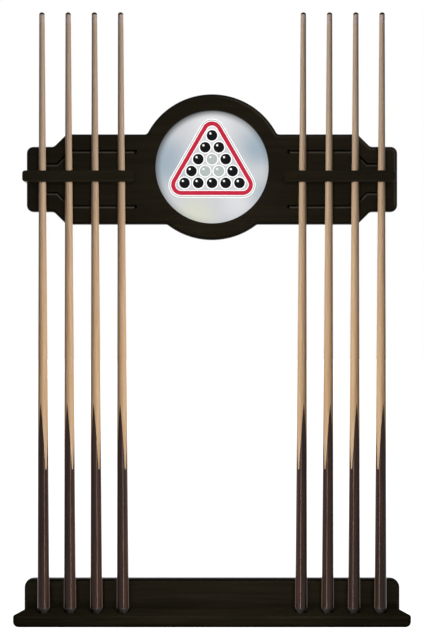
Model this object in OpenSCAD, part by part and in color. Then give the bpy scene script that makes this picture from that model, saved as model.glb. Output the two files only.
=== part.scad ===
// Wall rack for billiard cues. A shaped top board carries a round mirror and two drilled rails for
// the shafts, a base carries a shelf for the butts, and spliced cues stand in the rack.
// Millimetres. The wall is the plane y = 0, the front faces -y and z = 0 is the top of the shelf.

/* [Layout] */
// Cues on each side of the mirror
cues_per_side = 4; // [1:1:4]
// Distance between neighbouring cues
cue_pitch = 63.5; // [45:0.5:75]
// From the middle of the rack to the middle of each row of cues
row_offset = 314.5; // [290:0.5:380]
// Height of the top board's middle line above the shelf
board_height = 1046; // [900:1:1150]

/* [Top board] */
// Thickness of the top board
board_t = 19; // [16:0.5:28]
// From the outermost cue to the end of the top board
board_end = 42; // [36:0.5:80]
// Height of the wings
wing_h = 220; // [200:1:260]
// Height of the narrower tabs at the ends
tab_h = 159; // [130:1:180]
// Length of the tabs
tab_l = 66; // [45:1:90]
// Length of the slanted step between a wing and its tab
step_run = 31; // [15:1:50]
// Radius of the round centre
centre_r = 177.8; // [165:0.1:200]
// Height of the round centre above the board's middle line
centre_rise = 30; // [0:1:40]
// Radius of the tabs' corners
tab_corner_r = 16; // [12:1:30]
// Radius of the hollow corners where the round centre meets the wings
centre_fillet_r = 9; // [7:1:20]
// Radius of the corners at the ends of the slanted steps
step_fillet_r = 12; // [11:1:14]
// Radius of the rounded front edges
board_edge_r = 9.5; // [2:0.5:10]

/* [Routed grooves] */
// Width of the V-shaped grooves
groove_w = 8.4; // [3:0.2:10]
// From the wing's edge to the middle of its groove
groove_inset = 43; // [30:0.5:52]
// From the tab's edge to the middle of its groove
tab_groove_inset = 44.5; // [30:0.5:52]
// How far a groove's bends lie nearer to the middle than those of the board's edge
groove_bend = 9; // [0:0.5:25]
// From the round centre to the middle of the grooves' inner ends
groove_gap = 9.5; // [7:0.5:20]
// Width of the round plunges at the grooves' inner ends
plunge_d = 11; // [9:0.5:13]
// From the end of the board to the outer end of the grooves
groove_end = 33; // [20:0.5:44]

/* [Mirror] */
// Diameter of the round opening
opening_d = 275.6; // [200:0.1:290]
// Width of the chamfer round the opening's front edge
opening_chamfer = 1.5; // [0.5:0.1:3]
// Width of the lip that the glass rests on
lip_w = 6; // [4:0.5:10]
// Thickness of the glass
mirror_t = 4; // [3:0.5:5]
// Thickness of the backing board
backing_t = 3; // [2:0.5:4]
// Depth of the rebate behind the lip
rebate_depth = 11; // [9.5:0.5:13]
// Play around the glass and its backing
mirror_play = 0.8; // [0.3:0.1:1.5]
// Number of glazing points
point_count = 8; // [4:1:12]
// Length of a glazing point
point_l = 12; // [8:0.5:16]
// Width of a glazing point
point_w = 9; // [6:0.5:12]
// Thickness of a glazing point
point_t = 0.8; // [0.5:0.1:1.2]

/* [Cue rails] */
// Height of a rail
rail_h = 27; // [20:0.5:36]
// Depth of a rail from back to front
rail_depth = 41; // [34:0.5:60]
// Height of the rails above the board's middle line
rail_rise = 3; // [-20:0.5:20]
// Diameter of the holes for the shafts
hole_d = 24; // [22:0.5:28]
// Width of the chamfer round each hole
hole_chamfer = 1.2; // [0.5:0.1:2]
// From the leftmost hole of a rail to its left end
rail_left_end = 46.2; // [24:0.1:60]
// From the rightmost hole of a rail to its right end
rail_right_end = 32; // [24:0.1:60]
// Radius of a rail's corners, seen from the front
rail_corner_r = 7; // [4.5:0.5:10]
// Radius of a rail's front edges
rail_edge_r = 3; // [1:0.5:4]

/* [Base] */
// Height of the back board above the shelf
base_h = 73; // [70:1:120]
// Thickness of the back board
base_t = 19; // [16:0.5:28]
// From the outermost cue to the end of the back board
base_end = 47.75; // [36:0.25:80]
// Radius of the back board's upper corners
base_corner_r = 22; // [13:1:30]
// Radius of the back board's front edges
base_edge_r = 10; // [2:0.5:12]
// Thickness of the shelf
shelf_t = 28; // [22:0.5:36]
// Depth of the shelf in front of the back board
shelf_depth = 76; // [60:0.5:120]
// Angle by which each end of the shelf spreads towards the front
shelf_flare = 16; // [0:0.5:20]
// Radius of the shelf's front corners, seen from above
shelf_corner_r = 16; // [13:0.5:30]
// Radius of the shelf's upper edge
shelf_top_r = 4.5; // [2:0.5:8]
// Radius of the shelf's lower edge
shelf_bottom_r = 12; // [2:0.5:12]

/* [Wall hangers] */
// Distance between the two hangers of each board
hanger_spacing = 406.4; // [390:0.1:440]
// Height of the upper hangers' entry holes above the board's middle line
top_hanger_rise = 44; // [35:1:60]
// Height of the lower hangers' entry holes above the shelf
base_hanger_rise = 30; // [22:1:36]
// Width of a hanger plate
plate_w = 18; // [16:0.5:24]
// Thickness of a hanger plate
plate_t = 2; // [1.8:0.1:3]
// Diameter of the entry hole for a screw head
entry_d = 9.5; // [8:0.1:11]
// Width of the slot above the entry hole
slot_w = 4.8; // [4:0.1:6]
// Height of the slot's end above the entry hole's centre
slot_rise = 12; // [10:0.5:16]
// Depth of the pocket for a screw head, measured from the wall
pocket_depth = 10; // [8:0.5:12]
// Play between the entry hole's edge and the pocket's wall
pocket_play = 1.5; // [0.5:0.1:2]

/* [Screws] */
// Shank diameter of the long wood screws
long_shank_d = 4.2; // [3.5:0.1:5]
// Head diameter of the long wood screws
long_head_d = 8.2; // [7:0.1:10]
// Length of the screws that hold the rails
rail_screw_l = 45; // [35:1:50]
// Length of the screws that hold the shelf
shelf_screw_l = 50; // [35:1:60]
// Number of screws that hold the shelf
shelf_screw_count = 5; // [3:1:9]
// Shank diameter of the hanger screws
short_shank_d = 3; // [2.5:0.1:3.5]
// Head diameter of the hanger screws
short_head_d = 5.8; // [5:0.1:6.4]
// Length of the hanger screws
short_screw_l = 12; // [9:0.5:13]

/* [Cues] */
// Length of a cue
cue_len = 1448; // [1300:1:1500]
// How much nearer to the middle of the rack a cue's foot stands than its hole in the rail
foot_inset = 5.2; // [0:0.1:12]
// Diameter at the tip
tip_d = 13; // [11:0.1:14]
// Diameter at the foot of the butt
butt_d = 29; // [27:0.1:31]
// Height of the leather tip
tip_h = 6.5; // [4:0.1:8]
// Radius of the tip's dome
tip_dome_r = 6.9; // [6.8:0.1:14]
// Height of the ferrule
ferrule_h = 20.5; // [12:0.5:28]
// Diameter of the shaft's tenon inside the ferrule
tenon_d = 8; // [6:0.1:9]
// Number of points in the splice
splice_points = 3; // [2:1:6]
// Height of the lowest light wood in the splice
splice_low = 345; // [250:1:420]
// Height of the highest dark wood in the splice
splice_high = 504; // [440:1:600]
// Width of the light points' blunt lower ends
splice_blunt = 3.2; // [1:0.1:5]
// Angle from the front to the middle of the nearest light point
splice_turn = 41; // [0:1:60]
// Height of the rubber bumper
bumper_h = 14.5; // [8:0.5:20]
// Diameter of the bumper's foot
bumper_foot_d = 15; // [10:0.5:22]
// Height of the straight band at the top of the bumper
bumper_band = 3.5; // [1:0.5:4]
// How far the bumper's slope bulges: 0 is a straight cone and 1 a full round
bumper_bulge = 0.3; // [0:0.05:1]
// Diameter of the bumper's plug inside the butt
plug_d = 10; // [8:0.5:14]
// Length of the bumper's plug
plug_l = 16; // [10:1:25]
// Radial gap of the glued tenon and plug
glue_gap = 0.05; // [0.02:0.01:0.1]

/* [Hidden] */
$fn = 64;
// Angle between points on the large arcs and on the small corners
fine_step = 3;
corner_step = 15;
// Steps across a rounded edge
edge_steps = 6;
// Extra length of a cutter past the face that it cuts
over = 1;

cue_count = 2 * cues_per_side;
row_reach = (cues_per_side - 1) / 2 * cue_pitch;
cue_reach = row_offset + row_reach;
hole_depth = board_t + rail_depth / 2;
rail_z = board_height + rail_rise;
rail_screw_places = cues_per_side > 1 ? [for (k = [0 : cues_per_side - 2]) (k + 0.5) * cue_pitch - row_reach]
                                      : [-hole_d, hole_d];

board_half = cue_reach + board_end;
step_h = (wing_h - tab_h) / 2;
step_angle = atan2(step_h, step_run);
tab_x = board_half - tab_l;
wing_x = tab_x - step_run;
groove_depth = groove_w / 2;
rebate_r = opening_d / 2 + lip_w;
glass_r = rebate_r - mirror_play;

base_half = cue_reach + base_end;
shelf_front_half = base_half + shelf_depth * tan(shelf_flare);
shelf_screw_pitch = 2 * cue_reach / (shelf_screw_count - 1);

pocket_w = entry_d + 2 * pocket_play;
hanger_screw_gap = short_head_d / 2 + 2;
low_screw_y = -pocket_w / 2 - hanger_screw_gap;
high_screw_y = slot_rise + pocket_w / 2 + hanger_screw_gap;
plate_low = low_screw_y - short_head_d;
plate_high = high_screw_y + short_head_d;

splice_top = splice_high + 5;
fin_top = splice_top + 5;
shaft_top = cue_len - tip_h - ferrule_h;

foot_depth = base_t + shelf_depth / 2;
cue_splay = atan2(foot_inset, rail_z);
cue_lean = atan2(foot_depth - hole_depth, norm([foot_inset, rail_z]));
foot_rise = bumper_foot_d / 2 * sqrt(1 - (cos(cue_splay) * cos(cue_lean)) ^ 2);

FIXED_NODES = [
    "top_board", "mirror", "mirror_backing", "glazing_points",
    "left_rail", "right_rail", "rail_screws",
    "base_board", "shelf", "shelf_screws",
    "top_left_hanger", "top_right_hanger", "base_left_hanger", "base_right_hanger", "hanger_screws"
];
CUE_PIECES = ["tip", "ferrule", "shaft", "butt", "bumper"];

// Across position of a cue's hole, counted from the left
function cue_x(n) =
    n <= cues_per_side ? -row_offset - row_reach + (n - 1) * cue_pitch
                       : row_offset - row_reach + (n - 1 - cues_per_side) * cue_pitch;

// Diameter of a cue at a height above its foot
function cue_d(h) = butt_d + (tip_d - butt_d) * h / cue_len;

// Points along an arc, each with its outward direction: side is 1 on a full corner and -1 on a hollow one
function arc(centre, r, from, to, side = 1, step = corner_step) =
    let (n = max(1, ceil(abs(to - from) / step)))
    [for (i = [0 : n])
        let (a = from + (to - from) * i / n, way = [cos(a), sin(a)])
        [centre + r * way, side * way]];

// Points of an arc that goes on from the one before it, without the point that they share
function onward(points) = [for (i = [1 : len(points) - 1]) points[i]];

// An outline moved inwards and set at a height
function ring(outline, inset, z) =
    [for (p = outline) let (q = p[0] - inset * p[1]) [q.x, q.y, z]];

// Rings that round the upper edge of a plate
function rounded_edge(outline, r, z) =
    [for (k = [0 : edge_steps])
        let (a = 90 * k / edge_steps)
        ring(outline, r * (1 - cos(a)), z - r + r * sin(a))];

// Rings that round the lower edge of a plate
function rounded_foot(outline, r, z) =
    [for (k = [0 : edge_steps])
        let (a = 90 * k / edge_steps)
        ring(outline, r * (1 - sin(a)), z + r - r * cos(a))];

// Closed solid through rings of points that run clockwise, with fans from a middle point at both ends
module skin(rings, middle) {
    count = len(rings[0]);
    last = len(rings) - 1;
    caps = [[middle.x, middle.y, rings[0][0].z], [middle.x, middle.y, rings[last][0].z]];
    low_cap = count * len(rings);
    sides = [
        for (j = [0 : last - 1], i = [0 : count - 1])
            let (a = j * count + i, b = j * count + (i + 1) % count)
            each [[a, b, a + count], [b, b + count, a + count]]
    ];
    ends = [
        for (i = [0 : count - 1])
            let (next = (i + 1) % count)
            each [[low_cap, next, i], [low_cap + 1, last * count + i, last * count + next]]
    ];
    polyhedron(points = concat([for (r = rings) each r], caps), faces = concat(sides, ends));
}

// Flat plate with a rounded front edge, lying on z = 0
module plate(outline, t, edge_r, middle = [0, 0]) {
    skin(concat([ring(outline, 0, 0)], rounded_edge(outline, edge_r, t)), middle);
}

// Clockwise outline of a rail from the front, with x = 0 at its leftmost hole
function rail_outline() =
    let (
        left = rail_corner_r - rail_left_end,
        right = 2 * row_reach + rail_right_end - rail_corner_r,
        up = rail_h / 2 - rail_corner_r
    )
    concat(
        arc([right, up], rail_corner_r, 90, 0),
        arc([right, -up], rail_corner_r, 0, -90),
        arc([left, -up], rail_corner_r, -90, -180),
        arc([left, up], rail_corner_r, 180, 90)
    );

// Clockwise outline of the back board, whose lower edge stays square behind the shelf
function base_outline() =
    let (corner = [base_half - base_corner_r, base_h - base_corner_r])
    concat(
        arc(corner, base_corner_r, 90, 0),
        [for (side = [1, -1]) [[side * base_half, -shelf_t], [side, 0]]],
        arc([-corner.x, corner.y], base_corner_r, 180, 90)
    );

// Right half of the top board's outline, from the top of the round centre down to its lowest point
function board_half_outline() =
    let (
        centre = [0, centre_rise],
        blend = centre_r + centre_fillet_r,
        up = wing_h / 2 + centre_fillet_r,
        upper = [sqrt(blend ^ 2 - (up - centre_rise) ^ 2), up],
        lower = [sqrt(blend ^ 2 - (up + centre_rise) ^ 2), -up],
        upper_a = atan2(upper.y - centre_rise, upper.x),
        lower_a = atan2(lower.y - centre_rise, lower.x),
        bend = step_fillet_r * tan(step_angle / 2),
        shoulder = [wing_x - bend, wing_h / 2 - step_fillet_r],
        notch = [tab_x + bend, tab_h / 2 + step_fillet_r],
        corner = [board_half - tab_corner_r, tab_h / 2 - tab_corner_r]
    )
    concat(
        arc(centre, centre_r, 90, upper_a, step = fine_step),
        onward(arc(upper, centre_fillet_r, upper_a + 180, 270, -1)),
        arc(shoulder, step_fillet_r, 90, 90 - step_angle),
        arc(notch, step_fillet_r, 270 - step_angle, 270, -1),
        arc(corner, tab_corner_r, 90, 0),
        arc([corner.x, -corner.y], tab_corner_r, 0, -90),
        arc([notch.x, -notch.y], step_fillet_r, 90, 90 + step_angle, -1),
        arc([shoulder.x, -shoulder.y], step_fillet_r, step_angle - 90, -90),
        arc(lower, centre_fillet_r, 90, lower_a + 180, -1),
        onward(arc(centre, centre_r, lower_a, -90, step = fine_step))
    );

// Whole outline of the top board: the right half and its mirror image
function board_outline() =
    let (half = board_half_outline())
    concat(half, [for (i = [len(half) - 2 : -1 : 1]) [for (v = half[i]) [-v.x, v.y]]]);

// Outline of the shelf from above: square at the back, spread ends and rounded front corners
function shelf_outline() =
    let (
        spread = shelf_corner_r * (1 + sin(shelf_flare)) / cos(shelf_flare),
        front = [shelf_front_half - spread, -base_t - shelf_depth + shelf_corner_r],
        side = [1 / cos(shelf_flare), 0]
    )
    concat(
        [[[base_half, -base_t], side]],
        arc(front, shelf_corner_r, shelf_flare, -90),
        arc([-front.x, front.y], shelf_corner_r, -90, -180 - shelf_flare),
        [[[-base_half, -base_t], -side]]
    );

// Turns a drawing with x across, y up and z away from the wall into its place on the wall
module on_wall() {
    rotate([90, 0, 0]) children();
}

// V-shaped cutter with rounded ends along a path on the plane z = 0
module groove(path) {
    last = len(path) - 1;
    half = groove_w / 2 + over;
    ways = [for (i = [0 : last - 1]) (path[i + 1] - path[i]) / norm(path[i + 1] - path[i])];
    normals = [for (w = ways) [-w.y, w.x]];
    offsets = [
        for (i = [0 : last])
            let (a = normals[max(i - 1, 0)], b = normals[min(i, last - 1)])
            half * (a + b) / (1 + a * b)
    ];
    turn = 180 / 6;
    function cap(i, way) = [for (k = [1 : 5])
        let (a = atan2(way.y, way.x) + 90 - k * turn)
        path[i] + half * [cos(a), sin(a)]];
    rim = concat(
        [for (i = [0 : last]) path[i] + offsets[i]],
        cap(last, ways[last - 1]),
        [for (i = [last : -1 : 0]) path[i] - offsets[i]],
        cap(0, -ways[0])
    );
    foot = concat([for (i = [0 : last]) i], [for (k = [1 : 5]) last], [for (i = [last : -1 : 0]) i], [for (k = [1 : 5]) 0]);
    count = len(rim);
    low = count;
    high = count + last + 1;
    points = concat(
        [for (p = rim) [p.x, p.y, over]],
        [for (p = path) [p.x, p.y, -groove_depth]],
        [for (p = path) [p.x, p.y, half]]
    );
    walls = [
        for (k = [0 : count - 1])
            let (next = (k + 1) % count, a = foot[k], b = foot[next])
            each concat(
                [[k, low + a, next], [k, next, high + a]],
                a == b ? [] : [[next, low + a, low + b], [next, high + b, high + a]]
            )
    ];
    polyhedron(points = points, faces = walls);
}

// Groove of one quarter of the board, which follows its stepped edge; side and up are 1 or -1
module quarter_groove(side, up) {
    wing_y = wing_h / 2 - groove_inset;
    tab_y = tab_h / 2 - tab_groove_inset;
    path = [
        [centre_r + groove_gap, wing_y], [wing_x - groove_bend, wing_y],
        [tab_x - groove_bend, tab_y], [board_half - groove_end, tab_y]
    ];
    groove([for (p = path) [side * p.x, up * p.y]]);
    translate([side * path[0].x, up * path[0].y, over - plunge_d / 2])
        cylinder(d1 = 2 * over, d2 = plunge_d + 2 * over, h = plunge_d / 2);
}

// Countersunk wood screw that points along +z, with its head flush with z = 0
module wood_screw(head_d, shank_d, length) {
    head_h = (head_d - shank_d) / 2;
    cylinder(d1 = head_d, d2 = shank_d, h = head_h);
    translate([0, 0, head_h]) cylinder(d = shank_d, h = length - head_h - shank_d);
    translate([0, 0, length - shank_d]) cylinder(d1 = shank_d, d2 = shank_d / 4, h = shank_d);
}

// All the screws that hold the two rails
module rail_screw_set() {
    on_wall() for (side = [-1, 1], place = rail_screw_places)
        translate([side * row_offset + place, rail_z, 0]) wood_screw(long_head_d, long_shank_d, rail_screw_l);
}

// All the screws that hold the shelf
module shelf_screw_set() {
    on_wall() for (k = [0 : shelf_screw_count - 1])
        translate([k * shelf_screw_pitch - cue_reach, -shelf_t / 2, 0])
            wood_screw(long_head_d, long_shank_d, shelf_screw_l);
}

// Runs its children at the entry holes of the two hangers at a height
module at_hangers(height) {
    on_wall() for (side = [-1, 1]) translate([side * hanger_spacing / 2, height, 0]) children();
}

module hanger_screw_pair() {
    for (y = [low_screw_y, high_screw_y])
        translate([0, y, 0]) wood_screw(short_head_d, short_shank_d, short_screw_l);
}

// Flat slot with round ends, from y = low to y = high
module slot_shape(width, low, high) {
    translate([-width / 2, low]) square([width, high - low]);
    for (y = [low, high]) translate([0, y]) circle(d = width);
}

// Space behind a hanger: the seat of its plate, the pocket for a screw head and the screws
module hanger_seat() {
    linear_extrude(plate_t) slot_shape(plate_w, plate_low + plate_w / 2, plate_high - plate_w / 2);
    linear_extrude(pocket_depth) slot_shape(pocket_w, 0, slot_rise);
    hanger_screw_pair();
}

module hanger(side, height) {
    color("silver") on_wall() translate([side * hanger_spacing / 2, height, 0]) difference() {
        linear_extrude(plate_t) difference() {
            slot_shape(plate_w, plate_low + plate_w / 2, plate_high - plate_w / 2);
            circle(d = entry_d);
            slot_shape(slot_w, 0, slot_rise);
        }
        hanger_screw_pair();
    }
}

module hanger_screws() {
    color("goldenrod") {
        at_hangers(board_height + top_hanger_rise) hanger_screw_pair();
        at_hangers(base_hanger_rise) hanger_screw_pair();
    }
}

// Glazing points: thin steel triangles pushed into the rebate's wall behind the backing
module glazing_point_set() {
    on_wall() translate([0, board_height + centre_rise, rebate_depth - mirror_t - backing_t - point_t])
        for (k = [0 : point_count - 1])
            rotate([0, 0, (k + 0.5) * 360 / point_count]) translate([rebate_r - point_l / 2, 0, 0])
                linear_extrude(point_t) polygon([[0, -point_w / 2], [point_l, 0], [0, point_w / 2]]);
}

module top_board() {
    color([0.12, 0.1, 0.08]) difference() {
        on_wall() translate([0, board_height, 0]) difference() {
            plate(board_outline(), board_t, board_edge_r, [0, centre_rise]);
            translate([0, centre_rise, -over]) {
                cylinder(d = opening_d, h = board_t + 2 * over, $fn = 180);
                cylinder(r = rebate_r, h = rebate_depth + over, $fn = 180);
                translate([0, 0, board_t + over - opening_chamfer])
                    cylinder(d1 = opening_d, d2 = opening_d + 2 * (opening_chamfer + over),
                             h = opening_chamfer + over, $fn = 180);
            }
            translate([0, 0, board_t]) for (side = [-1, 1], up = [-1, 1]) quarter_groove(side, up);
        }
        at_hangers(board_height + top_hanger_rise) hanger_seat();
        rail_screw_set();
        glazing_point_set();
    }
}

module mirror_glass() {
    color([0.85, 0.9, 0.95]) on_wall() translate([0, board_height + centre_rise, rebate_depth - mirror_t])
        cylinder(r = glass_r, h = mirror_t, $fn = 180);
}

module mirror_backing() {
    color("sienna") on_wall()
        translate([0, board_height + centre_rise, rebate_depth - mirror_t - backing_t])
            cylinder(r = glass_r, h = backing_t, $fn = 180);
}

// Rail with a row of upright holes; side is -1 for the left rail and 1 for the right one
module rail(side) {
    first = side * row_offset - row_reach;
    low = rail_z - rail_h / 2;
    color([0.12, 0.1, 0.08]) difference() {
        on_wall() translate([first, rail_z, board_t]) plate(rail_outline(), rail_depth, rail_edge_r);
        for (k = [0 : cues_per_side - 1]) translate([first + k * cue_pitch, -hole_depth, low]) {
            translate([0, 0, -over]) cylinder(d = hole_d, h = rail_h + 2 * over);
            rim_chamfer();
            translate([0, 0, rail_h]) mirror([0, 0, 1]) rim_chamfer();
        }
        rail_screw_set();
    }
}

// Cone that breaks the lower edge of a rail's hole
module rim_chamfer() {
    translate([0, 0, -over])
        cylinder(d1 = hole_d + 2 * (hole_chamfer + over), d2 = hole_d, h = hole_chamfer + over);
}

module base_board() {
    color([0.12, 0.1, 0.08]) difference() {
        on_wall() plate(base_outline(), base_t, base_edge_r);
        at_hangers(base_hanger_rise) hanger_seat();
        shelf_screw_set();
    }
}

module shelf() {
    outline = shelf_outline();
    color([0.12, 0.1, 0.08]) difference() {
        skin(
            concat(rounded_foot(outline, shelf_bottom_r, -shelf_t), rounded_edge(outline, shelf_top_r, 0)),
            [0, -base_t - shelf_depth / 2]
        );
        shelf_screw_set();
    }
}

// Part of a cue's taper between two heights
module taper(low, high) {
    translate([0, 0, low]) cylinder(d1 = cue_d(low), d2 = cue_d(high), h = high - low);
}

// Light wood of the splice: fins that meet on the axis and thicken upwards from a blunt lower end
module splice_fins() {
    low = splice_blunt / 2;
    meeting = cue_d(splice_high) / 2 * sin(180 / splice_points);
    high = low + (meeting - low) * (fin_top - splice_low) / (splice_high - splice_low);
    for (k = [0 : splice_points - 1]) rotate([0, 0, k * 360 / splice_points]) rotate([90, 0, 90])
        linear_extrude(butt_d)
            polygon([[-low, splice_low], [low, splice_low], [high, fin_top], [-high, fin_top]]);
}

module cue_tip() {
    color("dimgray") intersection() {
        taper(cue_len - tip_h, cue_len);
        translate([0, 0, cue_len - tip_dome_r]) sphere(tip_dome_r);
    }
}

module cue_ferrule() {
    color("ivory") difference() {
        taper(shaft_top, cue_len - tip_h);
        translate([0, 0, shaft_top - over]) cylinder(d = tenon_d, h = ferrule_h + 2 * over);
    }
}

module cue_shaft() {
    color("burlywood") {
        intersection() {
            taper(splice_low - over, shaft_top);
            union() {
                splice_fins();
                translate([0, 0, splice_top]) cylinder(d = butt_d, h = cue_len);
            }
        }
        translate([0, 0, shaft_top - over]) cylinder(d = tenon_d - 2 * glue_gap, h = ferrule_h + over);
    }
}

module cue_butt() {
    color([0.2, 0.13, 0.1]) difference() {
        taper(bumper_h, splice_top);
        splice_fins();
        translate([0, 0, bumper_h - over]) cylinder(d = plug_d, h = plug_l + over);
    }
}

module cue_bumper() {
    foot_r = bumper_foot_d / 2;
    round_h = bumper_h - bumper_band;
    round_w = cue_d(round_h) / 2 - foot_r;
    profile = [for (k = [0 : edge_steps])
        let (t = k / edge_steps, a = 90 * t, straight = (1 - bumper_bulge) * t)
        [foot_r + round_w * (straight + bumper_bulge * sin(a)),
         round_h * (straight + bumper_bulge * (1 - cos(a)))]];
    color([0.2, 0.2, 0.2]) {
        rotate_extrude() polygon(concat([[0, 0]], profile, [[cue_d(bumper_h) / 2, bumper_h], [0, bumper_h]]));
        translate([0, 0, bumper_h - over]) cylinder(d = plug_d - 2 * glue_gap, h = plug_l + over - glue_gap);
    }
}

// Stands its children on the shelf at the place of one cue, leaning back and outwards through the middle of
// its hole, with the splice turned towards the middle of the rack
module at_cue(n) {
    towards_middle = n <= cues_per_side ? 1 : -1;
    translate([cue_x(n) + towards_middle * foot_inset, -foot_depth, foot_rise])
        rotate([0, -towards_middle * cue_splay, 0]) rotate([-cue_lean, 0, 0])
            rotate([0, 0, towards_middle * splice_turn - 90]) children();
}

top_board();
mirror_glass();  // mirror
mirror_backing();
color("silver") glazing_point_set();  // glazing_points
rail(-1);  // left_rail
rail(1);  // right_rail
color("goldenrod") rail_screw_set();  // rail_screws
base_board();
shelf();
color("goldenrod") shelf_screw_set();  // shelf_screws
hanger(-1, board_height + top_hanger_rise);  // top_left_hanger
hanger(1, board_height + top_hanger_rise);  // top_right_hanger
hanger(-1, base_hanger_rise);  // base_left_hanger
hanger(1, base_hanger_rise);  // base_right_hanger
hanger_screws();
for (n = [1 : cue_count]) at_cue(n) {
    cue_tip();
    cue_ferrule();
    cue_shaft();
    cue_butt();
    cue_bumper();
}
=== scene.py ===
"""Looks of a wall rack for billiard cues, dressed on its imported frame.

The boards are finished copies of the frame's solids, the mirror gets its silvering and a printed
triangle of balls, Geometry Nodes turn the screws, and every wood, metal and rubber is procedural.
"""

import math

import bmesh
import bpy
from bpy.props import FloatProperty, FloatVectorProperty, IntProperty, PointerProperty
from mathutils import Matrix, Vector


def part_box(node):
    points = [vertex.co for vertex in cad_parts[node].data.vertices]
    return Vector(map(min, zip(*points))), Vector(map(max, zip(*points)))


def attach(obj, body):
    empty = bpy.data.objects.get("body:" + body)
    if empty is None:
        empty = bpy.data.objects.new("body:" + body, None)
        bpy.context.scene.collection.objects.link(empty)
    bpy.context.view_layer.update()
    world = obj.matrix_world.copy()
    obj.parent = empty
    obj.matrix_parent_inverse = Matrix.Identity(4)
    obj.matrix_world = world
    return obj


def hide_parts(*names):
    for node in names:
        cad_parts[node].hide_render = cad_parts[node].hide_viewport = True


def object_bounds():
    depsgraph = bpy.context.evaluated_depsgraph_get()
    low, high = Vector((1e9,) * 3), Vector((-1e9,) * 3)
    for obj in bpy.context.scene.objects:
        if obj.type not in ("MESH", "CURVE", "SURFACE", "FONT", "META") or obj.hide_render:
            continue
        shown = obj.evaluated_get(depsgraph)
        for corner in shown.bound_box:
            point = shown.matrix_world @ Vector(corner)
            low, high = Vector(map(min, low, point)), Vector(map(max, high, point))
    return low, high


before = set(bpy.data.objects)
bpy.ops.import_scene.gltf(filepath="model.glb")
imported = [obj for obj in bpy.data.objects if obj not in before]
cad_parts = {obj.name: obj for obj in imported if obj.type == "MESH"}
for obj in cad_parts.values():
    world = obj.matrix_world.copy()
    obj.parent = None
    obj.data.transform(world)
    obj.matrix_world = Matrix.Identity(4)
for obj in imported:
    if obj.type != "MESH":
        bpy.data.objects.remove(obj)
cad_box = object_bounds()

bl_info = {
    "name": "Wall cue rack",
    "version": (1, 0, 0),
    "blender": (4, 5, 0),
    "location": "3D View > Sidebar > Cue rack",
    "description": "Dresses the frame of a wall rack for billiard cues",
    "category": "Object",
}

RACK = "rack"
BOARDS = ("top_board", "left_rail", "right_rail", "base_board", "shelf")
SPLICED = {"shaft": "maple", "butt": "dark_hardwood"}

# Grooves: the face attribute that marks them, their greatest depth and the length of a plunge.
ROUTED = "routed"
GROOVE_LIMIT = 0.0075
PLUNGE = 0.010
FLAT_LIMIT = 0.999

# Meshes: joining of loose triangles, smooth shading, and how round the turned pieces are made.
MERGE_DISTANCE = 2e-6
SHARP_ANGLE = math.radians(32)
CHORD_LIMIT = 0.00005
OUTER_LIMIT = 0.9
REFINE_ROUNDS = 8
SCREW_SIDES = 32
DOT_SIDES = 48
CORNER_STEPS = 12

# Stage: the floor, and the directions of the lights that shine on the top board's edges.
FLOOR_REACH = 30.0
FLOOR_GLOW = 0.93
EDGE_TILT = math.radians(37)
EDGE_TURNS = [math.radians(turn) for turn in (54, 6, -44)]
RIM_GAP = 0.0005


def size(name, description, default):
    """A length in metres that a user may change."""
    return FloatProperty(name=name, description=description, default=default, unit="LENGTH", precision=5)


def share(name, description, default):
    """A plain number between nothing and all."""
    return FloatProperty(name=name, description=description, default=default, min=0.0, max=1.0)


def paint(name, description, default):
    """A linear colour that a user may change."""
    return FloatVectorProperty(
        name=name, description=description, default=default, subtype="COLOR", min=0.0, max=1.0,
    )


def level(name, description, default):
    """How strong a lamp is: watts for a panel, watts per square metre for a far light."""
    return FloatProperty(name=name, description=description, default=default, min=0.0)


class CueRackStain(bpy.types.PropertyGroup):
    """Finish of the boards, the rails and the shelf."""

    dark: paint("Stain", "Colour of the stain", (0.0062, 0.0050, 0.0027))
    light: paint("Stain on hard grain", "Colour where the grain takes less stain", (0.0100, 0.0082, 0.0050))
    # The next share is how much of the stain's colour is left behind the front face: painted shade on edges
    # and in grooves.
    edge: share("Edge", "How much of the colour is left where the stain soaks into edges and grooves", 0.10)
    # The next colour is a painted highlight on the upward-facing groove walls.
    painted_groove_light: paint("Dust", "Colour of the dust on the lower walls of the grooves", (0.066, 0.058, 0.047))
    gloss: share("Gloss", "Specular level of the satin coat", 0.05)
    sheen: paint("Sheen", "Tint of what the satin coat reflects", (1.0, 0.8, 0.55))
    rough: share("Roughness", "Roughness of the satin coat", 0.18)
    grain_depth: size("Grain depth", "Depth of the grain that shows through the stain", 0.00005)


class CueRackMirror(bpy.types.PropertyGroup):
    """Silvering and print of the round mirror, and what holds it."""

    silver: paint("Silver", "Colour of the clear silvering", (0.64, 0.655, 0.68))
    # The next three colours are painted reflections in the silvering: bright patches, cool clouds and a warm
    # cloud near the foot.
    bright: paint("Bright", "Colour of the brightest silvering", (0.80, 0.80, 0.81))
    cloud: paint("Cloud", "Colour of the cool clouds in the silvering", (0.36, 0.45, 0.52))
    warm: paint("Warm", "Colour of the warm cloud near the foot", (0.70, 0.71, 0.61))
    # The rim colour is a painted shadow round the glass's edge, heaviest at the top left.
    rim: paint("Rim", "Colour of the darkened rim", (0.12, 0.13, 0.13))
    hardboard: paint("Hardboard", "Colour of the backing board", (0.20, 0.105, 0.055))
    red: paint("Red ink", "Red of the print", (0.47, 0.020, 0.046))
    black: paint("Black ink", "Black of the print", (0.004, 0.004, 0.0045))
    grey: paint("Grey ink", "Grey of the print", (0.40, 0.44, 0.43))
    white: paint("White ink", "White of the print", (0.90, 0.90, 0.90))
    rows: IntProperty(name="Rows", description="Rows of balls in the triangle", default=5, min=2, max=8)
    pitch: size("Pitch", "Distance between the printed balls", 0.0335)
    ball: size("Ball", "Radius of a printed ball", 0.0130)
    line: size("Line", "Width of the printed outlines", 0.0028)
    film: size("Film", "Thickness of one layer of ink", 0.00008)


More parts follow.
